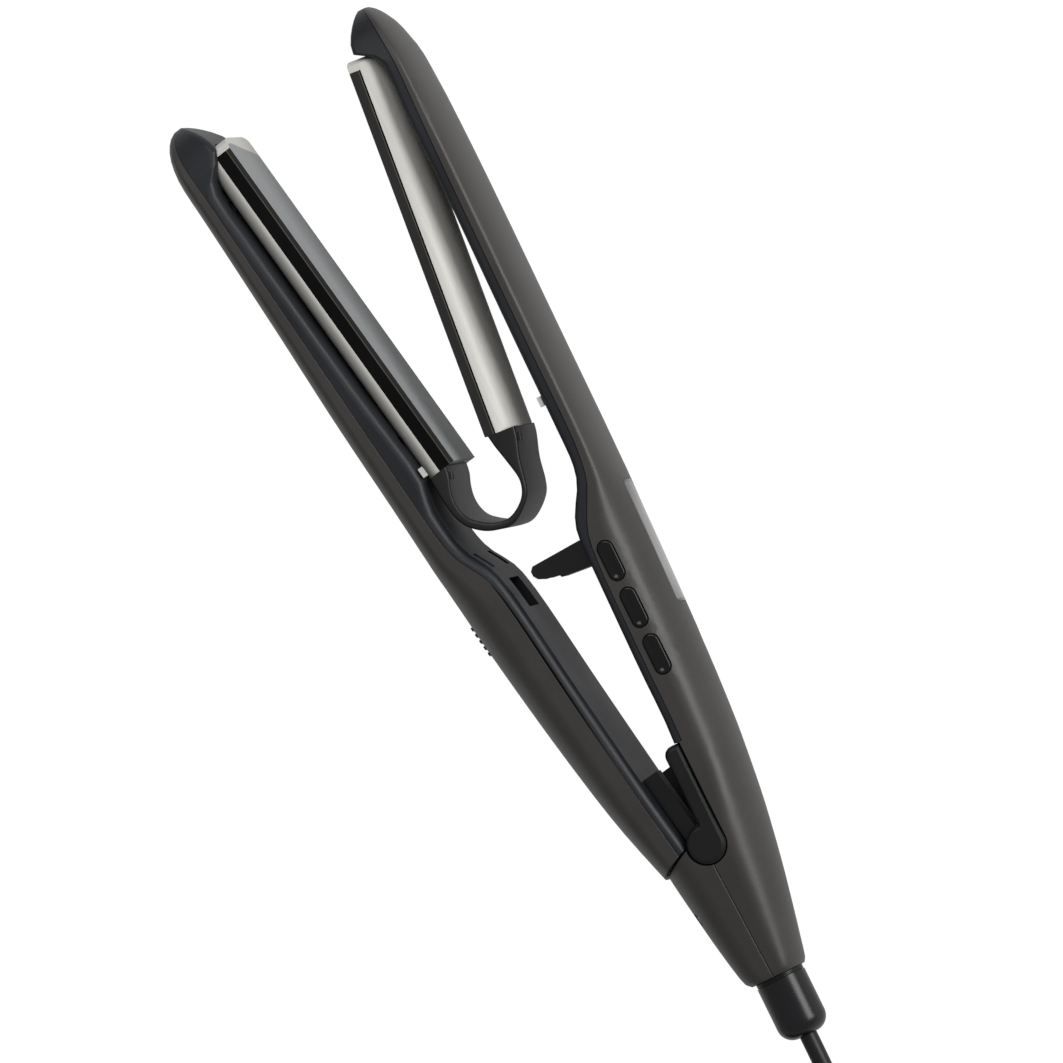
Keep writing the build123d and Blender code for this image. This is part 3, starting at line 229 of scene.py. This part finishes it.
class Surface:
    """A procedural material: a shader with its colour, roughness and bump driven by noise."""

    def __init__(self, name, roughness=0.5, metallic=0.0, coat=0.0, coat_roughness=0.1, specular=0.5):
        self.material = bpy.data.materials.new(name)
        self.material.use_nodes = True
        self.tree = self.material.node_tree
        self.shader = self.tree.nodes["Principled BSDF"]
        self.shader.inputs["Roughness"].default_value = roughness
        self.shader.inputs["Metallic"].default_value = metallic
        self.shader.inputs["Coat Weight"].default_value = coat
        self.shader.inputs["Coat Roughness"].default_value = coat_roughness
        self.shader.inputs["Specular IOR Level"].default_value = specular
        self.place = self.tree.nodes.new("ShaderNodeTexCoord").outputs["Object"]

    def node(self, kind, **values):
        """A new node, with its properties and its sockets' values set."""
        made = self.tree.nodes.new(kind)
        for key, value in values.items():
            if key in made.inputs:
                made.inputs[key].default_value = value
            else:
                setattr(made, key, value)
        return made

    def link(self, output, target):
        """A link from one socket to another."""
        self.tree.links.new(output, target)

    def place_part(self):
        """The object's coordinates, one output per axis."""
        parts = self.node("ShaderNodeSeparateXYZ")
        self.link(self.place, parts.inputs["Vector"])
        return parts.outputs

    def noise(self, scale, detail, roughness=0.5, stretch=(1, 1, 1)):
        """Noise over the object's coordinates, which are first scaled per axis."""
        mapping = self.node("ShaderNodeMapping", Scale=stretch)
        self.link(self.place, mapping.inputs["Vector"])
        made = self.node("ShaderNodeTexNoise", Scale=scale, Detail=detail, Roughness=roughness)
        self.link(mapping.outputs["Vector"], made.inputs["Vector"])
        return made.outputs["Fac"]

    def ramp(self, fac, places, *colours):
        """A colour ramp with one place for each colour."""
        made = self.node("ShaderNodeValToRGB")
        elements = made.color_ramp.elements
        while len(elements) < len(colours):
            elements.new(0.5)
        for element, place, colour in zip(elements, places, colours):
            element.position = place
            element.color = (*srgb(*colour), 1.0)
        self.link(fac, made.inputs["Fac"])
        return made.outputs["Color"]

    def mix(self, fac, first, second):
        """Two colours mixed."""
        made = self.node("ShaderNodeMix", data_type="RGBA")
        self.link(fac, made.inputs["Factor"])
        self.link(first, made.inputs["A"])
        if isinstance(second, tuple):
            made.inputs["B"].default_value = (*second, 1.0)
        else:
            self.link(second, made.inputs["B"])
        return made.outputs["Result"]

    def band(self, output, middle, start, end):
        """0 near a middle value, and 1 from the given distance to both sides of it."""
        off = computed(self.tree, "SUBTRACT", output, middle)
        return ranged(self.tree, computed(self.tree, "ABSOLUTE", off), (start, end))

    def colour(self, output):
        """The shader's colour."""
        self.link(output, self.shader.inputs["Base Color"])

    def rough(self, fac, limits):
        """The shader's roughness, spread by noise between two limits."""
        self.link(ranged(self.tree, fac, PATCH_ENDS, limits), self.shader.inputs["Roughness"])

    def bump(self, fac, strength, distance):
        """Fine relief."""
        made = self.node("ShaderNodeBump", Strength=strength, Distance=distance)
        self.link(fac, made.inputs["Height"])
        self.link(made.outputs["Normal"], self.shader.inputs["Normal"])


def moulded(name, dark, light, rough, bump=0.12, **finish):
    """Moulded plastic: a fine spark-eroded grain with slow variation in tone."""
    made = Surface(name, **finish)
    fine = made.noise(*GRAIN)
    slow = made.noise(*PLASTIC_PATCHES)
    patches = computed(made.tree, "MULTIPLY", slow, PATCH_SHARE)
    tone = computed(made.tree, "MULTIPLY_ADD", fine, GRAIN_SHARE, patches)
    made.colour(made.ramp(tone, PATCH_ENDS, dark, light))
    made.rough(slow, rough)
    made.bump(fine, bump, GRAIN_DEPTH)
    return made.material


def brushed(name, dark, light, rough, stretch, metallic=1.0, bump=0.08):
    """Metal with fine lines along one axis."""
    made = Surface(name, metallic=metallic)
    lines = made.noise(*LINES, stretch)
    made.colour(made.ramp(lines, LINE_ENDS, dark, light))
    made.rough(made.noise(*METAL_PATCHES), rough)
    made.bump(lines, bump, LINE_DEPTH)
    return made.material


BOARD = {"track": (60, 120, 70), "mask": (22, 66, 40), "scale": 420.0, "roughness": 0.4, "bump": 0.2}


def board_green(name):
    """A circuit board: green mask with lighter tracks."""
    made = Surface(name, roughness=BOARD["roughness"])
    cells = made.node("ShaderNodeTexVoronoi", Scale=BOARD["scale"], feature="DISTANCE_TO_EDGE")
    made.link(made.place, cells.inputs["Vector"])
    made.colour(made.ramp(cells.outputs["Distance"], TRACK_ENDS, BOARD["track"], BOARD["mask"]))
    made.bump(cells.outputs["Distance"], BOARD["bump"], TRACK_DEPTH)
    return made.material


# How the fine lines are stretched: along the arms, upright, along the plug's pins, or not at all
ALONG = (1.0, 0.03, 1.0)
UPRIGHT = (1, 1, 0.05)
PIN_WAY = (1, 0.05, 1)
EVEN = (1, 1, 1)

# The plates, in metres: half the coated width, and the limits between which it turns into the dark edge,
# painted shade over the sides' own dark finish
PLATE_MIDDLE = 0.017
PLATE_HALF = 0.0132
PLATE_SHADE_LIMITS = (PLATE_HALF - 0.0002, PLATE_HALF - 0.0001)
PLATE = {
    "coating": ((136, 138, 139), (147, 149, 150)),
    # Dark edge tones: painted shade on the plate's sides, over their own dark finish
    "edge": ((6, 6, 6), (16, 16, 15)),
    "rough": (0.44, 0.52),
    "bump": 0.03,
}


def plate_coating(name):
    """A heated plate: ceramic coating with fine lines, and dark edges along both sides that are painted shade
    over the sides' own dark finish.
    """
    made = Surface(name)
    lines = made.noise(*LINES, ALONG)
    # Band of painted shade along both sides of the plate
    edge = made.band(made.place_part()["Z"], PLATE_MIDDLE, *PLATE_SHADE_LIMITS)
    coating = made.ramp(lines, LINE_ENDS, *PLATE["coating"])
    made.colour(made.mix(edge, coating, made.ramp(lines, LINE_ENDS, *PLATE["edge"])))
    made.rough(made.noise(*METAL_PATCHES), PLATE["rough"])
    made.bump(lines, PLATE["bump"], LINE_DEPTH)
    return made.material


# The display's cover, in metres: its middle and half size along Y and Z, its border and the soft line inside
LENS_MIDDLE = (0.0865, 0.017)
LENS_HALF = (0.0195, 0.00575)
LENS_BORDER = 0.0010
LENS_SOFT = 0.0001
# Tones of the painted reflection along the cover's length, and where each stands
LENS_REFLECTION_TONES = ((96, 96, 96), (132, 132, 131), (112, 112, 111), (70, 70, 70))
LENS_REFLECTION_PLACES = (0.0, 0.35, 0.8, 1.0)
LENS_BLACK = (6, 6, 6)
LENS_PATCH_SHARE = 0.12
LENS_FINISH = {"roughness": 0.22, "coat": 0.4, "coat_roughness": 0.1}


def display_lens(name):
    """The display's cover: smoky, with a paler field inside a thin black border; the field's tone is a
    painted reflection that brightens and fades along its length.
    """
    made = Surface(name, **LENS_FINISH)
    parts = made.place_part()
    length = (LENS_MIDDLE[0] - LENS_HALF[0], LENS_MIDDLE[0] + LENS_HALF[0])
    # Painted reflection: the tone follows the place along the cover's length
    along = ranged(made.tree, parts["Y"], length)
    tone = computed(made.tree, "MULTIPLY_ADD", made.noise(*LENS_PATCHES), LENS_PATCH_SHARE, along)
    edges = [
        made.band(parts[axis], middle, half - LENS_BORDER, half - LENS_BORDER + LENS_SOFT)
        for axis, middle, half in zip(("Y", "Z"), LENS_MIDDLE, LENS_HALF)
    ]
    border = computed(made.tree, "MAXIMUM", *edges)
    made.colour(made.mix(border, made.ramp(tone, LENS_REFLECTION_PLACES, *LENS_REFLECTION_TONES), srgb(*LENS_BLACK)))
    return made.material


MOULDED = {
    "shell": dict(dark=(44, 42, 40), light=(55, 53, 50), rough=(0.4, 0.45), bump=0.012),
    "inner_cover": dict(dark=(20, 22, 26), light=(30, 32, 37), rough=(0.38, 0.46), bump=0.012, specular=0.35),
    "bracket": dict(dark=(10, 11, 12), light=(18, 19, 21), rough=(0.36, 0.46), specular=0.35),
    "latch": dict(dark=(18, 18, 19), light=(28, 28, 29), rough=(0.42, 0.52), specular=0.3),
    "button": dict(dark=(3, 3, 4), light=(8, 8, 9), rough=(0.12, 0.16), bump=0.0, specular=0.4),
    "module": dict(dark=(176, 176, 172), light=(200, 200, 196), rough=(0.5, 0.6)),
    "heater": dict(dark=(214, 210, 202), light=(232, 230, 224), rough=(0.5, 0.6)),
    "strip": dict(dark=(2, 2, 3), light=(7, 7, 8), rough=(0.2, 0.28), bump=0.03, specular=0.15),
    "cap": dict(dark=(188, 187, 181), light=(206, 205, 199), rough=(0.4, 0.5), bump=0.03),
    "loop": dict(dark=(20, 20, 21), light=(30, 30, 32), rough=(0.36, 0.44), bump=0.03, specular=0.35),
    "sleeve": dict(dark=(7, 8, 11), light=(16, 17, 21), rough=(0.24, 0.32), bump=0.05, specular=0.45),
    "cord": dict(dark=(8, 8, 9), light=(17, 17, 18), rough=(0.36, 0.44), specular=0.4),
}
BRUSHED = {
    "steel": dict(dark=(130, 132, 135), light=(172, 174, 177), rough=(0.28, 0.38), stretch=UPRIGHT),
    "spreader": dict(dark=(160, 162, 165), light=(192, 194, 196), rough=(0.3, 0.42), stretch=ALONG),
    "trim": dict(dark=(62, 58, 50), light=(96, 90, 80), rough=(0.34, 0.42), stretch=ALONG, metallic=0.3),
    "barrel": dict(
        dark=(194, 193, 187), light=(208, 206, 201), rough=(0.48, 0.56), stretch=ALONG,
        metallic=0.05, bump=0.03,
    ),
    "ring": dict(dark=(24, 24, 26), light=(40, 40, 42), rough=(0.3, 0.4), stretch=EVEN, metallic=0.3),
    "contact": dict(dark=(180, 142, 76), light=(214, 178, 104), rough=(0.22, 0.32), stretch=PIN_WAY),
}
SPECIAL = {"lens": display_lens, "board": board_green, "plate": plate_coating}


def make_materials():
    """One material per slot of the record."""
    made = {name: moulded(name, **look) for name, look in MOULDED.items()}
    made.update({name: brushed(name, **look) for name, look in BRUSHED.items()})
    made.update({name: make(name) for name, make in SPECIAL.items()})
    return made


def dress(materials):
    """Every CAD node takes the material of its slot."""
    slots = {part["node"]: part["material_slot"] for part in frame["record"]["subparts"]}
    for name, node in frame["nodes"].items():
        node.data.materials.clear()
        node.data.materials.append(materials[slots[name]])


# Nodes with curved faces, and their slots
SMOOTHED = {
    "main_outer_shell": "shell",
    "lever_outer_shell": "shell",
    "tail_cover": "shell",
    "main_inner_cover": "inner_cover",
    "lever_inner_cover": "inner_cover",
    "upper_tip_cap": "cap",
    "lower_tip_cap": "cap",
    "cord_sleeve": "sleeve",
}
SHARP_ANGLE = 0.6
WELD_DISTANCE = 0.000002


def shade(mesh):
    """Smooth faces, with edges left sharp where the faces turn by more than the sharp angle."""
    for face in mesh.faces:
        face.smooth = True
    for edge in mesh.edges:
        edge.smooth = len(edge.link_faces) == 2 and edge.calc_face_angle(0.0) < SHARP_ANGLE


def smooth_copy(name, materials, slot, rides=True):
    """A node's own form, with its facets shaded as the smooth surface that they stand for."""
    data = frame["nodes"][name].data.copy()
    piece = link_object(f"{name}_finish", data)
    mesh = bmesh.new()
    mesh.from_mesh(data)
    bmesh.ops.remove_doubles(mesh, verts=mesh.verts, dist=WELD_DISTANCE)
    shade(mesh)
    mesh.to_mesh(data)
    mesh.free()
    data.materials.clear()
    data.materials.append(materials[slot])
    weighted = piece.modifiers.new("weighted", "WEIGHTED_NORMAL")
    weighted.keep_sharp = True
    if rides:
        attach(piece, frame["nodes"][name]["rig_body"])
    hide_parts(name)
    return piece


def finished(name, mesh, materials, slot):
    """A smooth-shaded object from a mesh, with sharp edges kept."""
    bmesh.ops.recalc_face_normals(mesh, faces=mesh.faces)
    shade(mesh)
    data = bpy.data.meshes.new(name)
    mesh.to_mesh(data)
    mesh.free()
    piece = link_object(name, data)
    data.materials.append(materials[slot])
    return piece


def join_rings(mesh, a, b):
    """Faces between two rings of as many points."""
    size = len(a)
    for k in range(size):
        mesh.faces.new((a[k], a[(k + 1) % size], b[(k + 1) % size], b[k]))


def make_spring(materials):
    """The opening spring, with a leg on each arm, smooth-shaded where it stands and riding with neither arm.
    """
    spring = smooth_copy("hinge_torsion_spring", materials, "steel", rides=False)
    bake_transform(spring)


# The swivel ring, in millimetres: distance from its axis and place along Y, all round its rounded profile
RING_AXIS = (-1.4, 17.0)
RING_PROFILE = [
    (5.95, -44.0), (5.95, -43.1), (6.05, -43.02), (7.2, -43.02), (7.38, -43.1), (7.42, -43.3),
    (7.42, -43.62), (7.28, -43.7), (7.28, -43.82), (7.42, -43.9), (7.42, -44.12), (7.34, -44.28),
    (7.2, -44.34), (6.05, -44.34), (5.95, -44.26),
]
RING_STEPS = 96


def make_ring(materials):
    """The swivel ring with rounded rims and a fine groove."""
    mesh = bmesh.new()
    rings = []
    for i in range(RING_STEPS):
        angle = 2 * math.pi * i / RING_STEPS
        rings.append([
            mesh.verts.new(point(RING_AXIS[0] + r * math.cos(angle), y, RING_AXIS[1] + r * math.sin(angle)))
            for r, y in RING_PROFILE
        ])
    for a, b in zip(rings, rings[1:] + rings[:1]):
        join_rings(mesh, a, b)
    ring = finished("swivel_ring_finish", mesh, materials, "ring")
    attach(ring, "main_arm")
    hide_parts("swivel_ring")


# The loop, in millimetres: its outer and inner line in the side view, from the upper yoke to the lower one
LOOP_OUTER = [
    (2.75, 133.9), (2.0, 130.6), (-0.2, 124.3), (-1.6, 117.7), (-3.2, 113.9), (-6.9, 110.4), (-10.9, 108.5),
    (-15.7, 109.1), (-19.7, 110.8), (-23.5, 114.1), (-25.4, 118.0), (-26.3, 122.4), (-26.8, 126.9),
    (-27.2, 131.2),
]
LOOP_INNER = [
    (-5.9, 134.6), (-5.3, 130.9), (-3.9, 124.7), (-3.1, 120.4), (-3.4, 117.4), (-4.8, 114.5), (-7.6, 112.1),
    (-11.1, 110.7), (-14.9, 111.3), (-18.2, 113.0), (-21.5, 115.8), (-23.0, 119.0), (-23.3, 122.6),
    (-22.6, 126.1), (-21.4, 129.4), (-20.9, 132.4),
]
LOOP_STEPS = 96
LOOP_Z = (3.8, 30.2)
CURVE_STEPS = 24
EDGE_RADIUS = 0.9
EDGE_SHARE = 0.42
CORNER_STEPS = 4


def along_line(points, count):
    """Evenly spaced points on a smooth curve through the given ones."""
    dense = []
    for i in range(len(points) - 1):
        a, b = Vector(points[i]), Vector(points[i + 1])
        before = Vector(points[i - 1]) if i > 0 else a * 2 - b
        after = Vector(points[i + 2]) if i + 2 < len(points) else b * 2 - a
        leave, arrive = (b - before) / 2, (after - a) / 2
        for k in range(CURVE_STEPS):
            t = k / CURVE_STEPS
            dense.append(
                a * (2 * t**3 - 3 * t**2 + 1)
                + b * (3 * t**2 - 2 * t**3)
                + leave * (t**3 - 2 * t**2 + t)
                + arrive * (t**3 - t**2)
            )
    dense.append(Vector(points[-1]))
    lengths = [0.0]
    for a, b in zip(dense, dense[1:]):
        lengths.append(lengths[-1] + (b - a).length)
    found, k = [], 0
    for i in range(count + 1):
        goal = lengths[-1] * i / count
        while k < len(dense) - 2 and lengths[k + 1] < goal:
            k += 1
        share = (goal - lengths[k]) / (lengths[k + 1] - lengths[k])
        found.append(dense[k].lerp(dense[k + 1], min(share, 1.0)))
    return found


def strap_ring(outer, inner):
    """One cross-section of the strap, with rounded edges."""
    depth = (outer - inner).length
    turn = (outer - inner) / depth
    radius = min(EDGE_RADIUS, EDGE_SHARE * depth)
    corners = (
        (depth - radius, LOOP_Z[1] - radius, 0), (radius, LOOP_Z[1] - radius, 90),
        (radius, LOOP_Z[0] + radius, 180), (depth - radius, LOOP_Z[0] + radius, 270),
    )
    ring = []
    for across, z, first in corners:
        for k in range(CORNER_STEPS + 1):
            angle = math.radians(first + 90 * k / CORNER_STEPS)
            place = inner + turn * (across + radius * math.cos(angle))
            ring.append(point(place.x, place.y, z + radius * math.sin(angle)))
    return ring


def make_loop(materials):
    """The flexible loop and its two yokes as one strap, built where it stands and riding with neither arm."""
    outer = along_line(LOOP_OUTER, LOOP_STEPS)
    inner = along_line(LOOP_INNER, LOOP_STEPS)
    mesh = bmesh.new()
    rings = [[mesh.verts.new(place) for place in strap_ring(o, i)] for o, i in zip(outer, inner)]
    for a, b in zip(rings, rings[1:]):
        join_rings(mesh, a, b)
    mesh.faces.new(rings[0][::-1])
    mesh.faces.new(rings[-1])
    add_lugs(mesh, outer, inner)
    strap = finished("loop_strap", mesh, materials, "loop")
    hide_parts("flex_loop", "upper_yoke", "lower_yoke")
    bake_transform(strap)


# Latch lugs, in millimetres: the step of the loop's line where each pair starts, how far it stands out,
# and the heights of the two lugs
LUG_PAIRS = ((3, 0.55), (LOOP_STEPS - 3, 0.45))
LUG_HEIGHTS = ((23.6, 25.6), (26.6, 28.6))
LUG_STEPS = 4
LUG_ROOT = -0.3
LUG_TAPER = 0.15


def add_lugs(mesh, outer, inner):
    """Small latch lugs beside the barrels: two on the upper yoke's back and two on the lower yoke's face."""
    for (first, depth), line, other in zip(LUG_PAIRS, (outer, inner), (inner, outer)):
        step = 1 if first < LOOP_STEPS / 2 else -1
        middle = first + LUG_STEPS // 2 * step
        a, b = line[first], line[first + LUG_STEPS * step]
        out = (line[middle] - other[middle]).normalized()
        way = (b - a).normalized()
        for low, high in LUG_HEIGHTS:
            ends = []
            for z, inward in ((low, 1), (high, -1)):
                ends.append([
                    mesh.verts.new(point(*(place + out * lift + way * (inset * side)), z + inset * inward))
                        for place, side, lift, inset in (
                        (a, 1, LUG_ROOT, 0), (a, 1, depth, LUG_TAPER),
                        (b, -1, depth, LUG_TAPER), (b, -1, LUG_ROOT, 0),
                    )
                ])
            join_rings(mesh, *ends)
            for end in ends:
                mesh.faces.new(end)


# The studio, in metres and watts
WORLD_LEVEL = 0.34
BACKDROP_SHARES = {"Is Camera Ray": 0.95, "Is Glossy Ray": 0.32, "Is Transmission Ray": 0.32}
BACKDROP_STRENGTH = 1.05
FLOOR_HALF = 4.0
FLOOR_HEIGHT = -0.0002
FLOOR_TONE = 0.6
FLOOR_ROUGHNESS = 0.9
LAMP_TARGET = (0, 0.1, 0.02)
LAMPS = [
    {"name": "key", "position": (0.98, 0.1, 0.6), "size": (1.2, 0.5), "power": 10.5},
    {"name": "top", "position": (0.2, 1.0, 1.15), "size": (0.9, 0.9), "power": 6.5},
]


def make_floor():
    """A plain pale floor that shows white to the camera, and partly white in reflections."""
    mesh = bpy.data.meshes.new("floor")
    corners = [(x * FLOOR_HALF, y * FLOOR_HALF, 0) for x, y in ((-1, -1), (1, -1), (1, 1), (-1, 1))]
    mesh.from_pydata(corners, [], [(0, 1, 2, 3)])
    floor = link_object("floor", mesh)
    floor.location.z = FLOOR_HEIGHT
    material = bpy.data.materials.new("floor")
    material.use_nodes = True
    tree = material.node_tree
    shader = tree.nodes["Principled BSDF"]
    shader.inputs["Base Color"].default_value = (FLOOR_TONE, FLOOR_TONE, FLOOR_TONE, 1)
    shader.inputs["Roughness"].default_value = FLOOR_ROUGHNESS
    white = tree.nodes.new("ShaderNodeEmission")
    white.inputs["Strength"].default_value = BACKDROP_STRENGTH
    mix = tree.nodes.new("ShaderNodeMixShader")
    tree.links.new(backdrop_share(tree), mix.inputs["Fac"])
    tree.links.new(shader.outputs["BSDF"], mix.inputs[1])
    tree.links.new(white.outputs["Emission"], mix.inputs[2])
    tree.links.new(mix.outputs["Shader"], tree.nodes["Material Output"].inputs["Surface"])
    mesh.materials.append(material)


def backdrop_share(tree):
    """How much of the floor's look is plain white, for each kind of ray that shows the backdrop."""
    rays = tree.nodes.new("ShaderNodeLightPath").outputs
    shares = [computed(tree, "MULTIPLY", rays[ray], share) for ray, share in BACKDROP_SHARES.items()]
    total = shares[0]
    for share in shares[1:]:
        total = computed(tree, "MAXIMUM", total, share)
    return total


def area_light(name, position, size, power):
    """A large soft lamp aimed at the tool."""
    data = bpy.data.lights.new(name, "AREA")
    data.shape = "RECTANGLE"
    data.size, data.size_y = size
    data.energy = power
    lamp = link_object(name, data)
    lamp.location = position
    lamp.rotation_euler = (Vector(LAMP_TARGET) - Vector(position)).to_track_quat("-Z", "Y").to_euler()


def make_light():
    """A pale world, white to the camera, and soft lamps."""
    world = bpy.data.worlds.new("studio")
    bpy.context.scene.world = world
    world.use_nodes = True
    tree = world.node_tree
    background = tree.nodes["Background"]
    background.inputs["Color"].default_value = (1, 1, 1, 1)
    camera_ray = tree.nodes.new("ShaderNodeLightPath").outputs["Is Camera Ray"]
    strength = ranged(tree, camera_ray, target=(WORLD_LEVEL, 1.0))
    tree.links.new(strength, background.inputs["Strength"])
    for lamp in LAMPS:
        area_light(**lamp)


def main():
    """The whole scene."""
    make_camera()
    cord = make_cord()
    materials = make_materials()
    cord.data.materials.append(materials["cord"])
    dress(materials)
    for name, slot in SMOOTHED.items():
        smooth_copy(name, materials, slot)
    make_spring(materials)
    make_loop(materials)
    make_ring(materials)
    make_floor()
    make_light()
    bpy.context.scene.view_settings.view_transform = "Standard"


main()
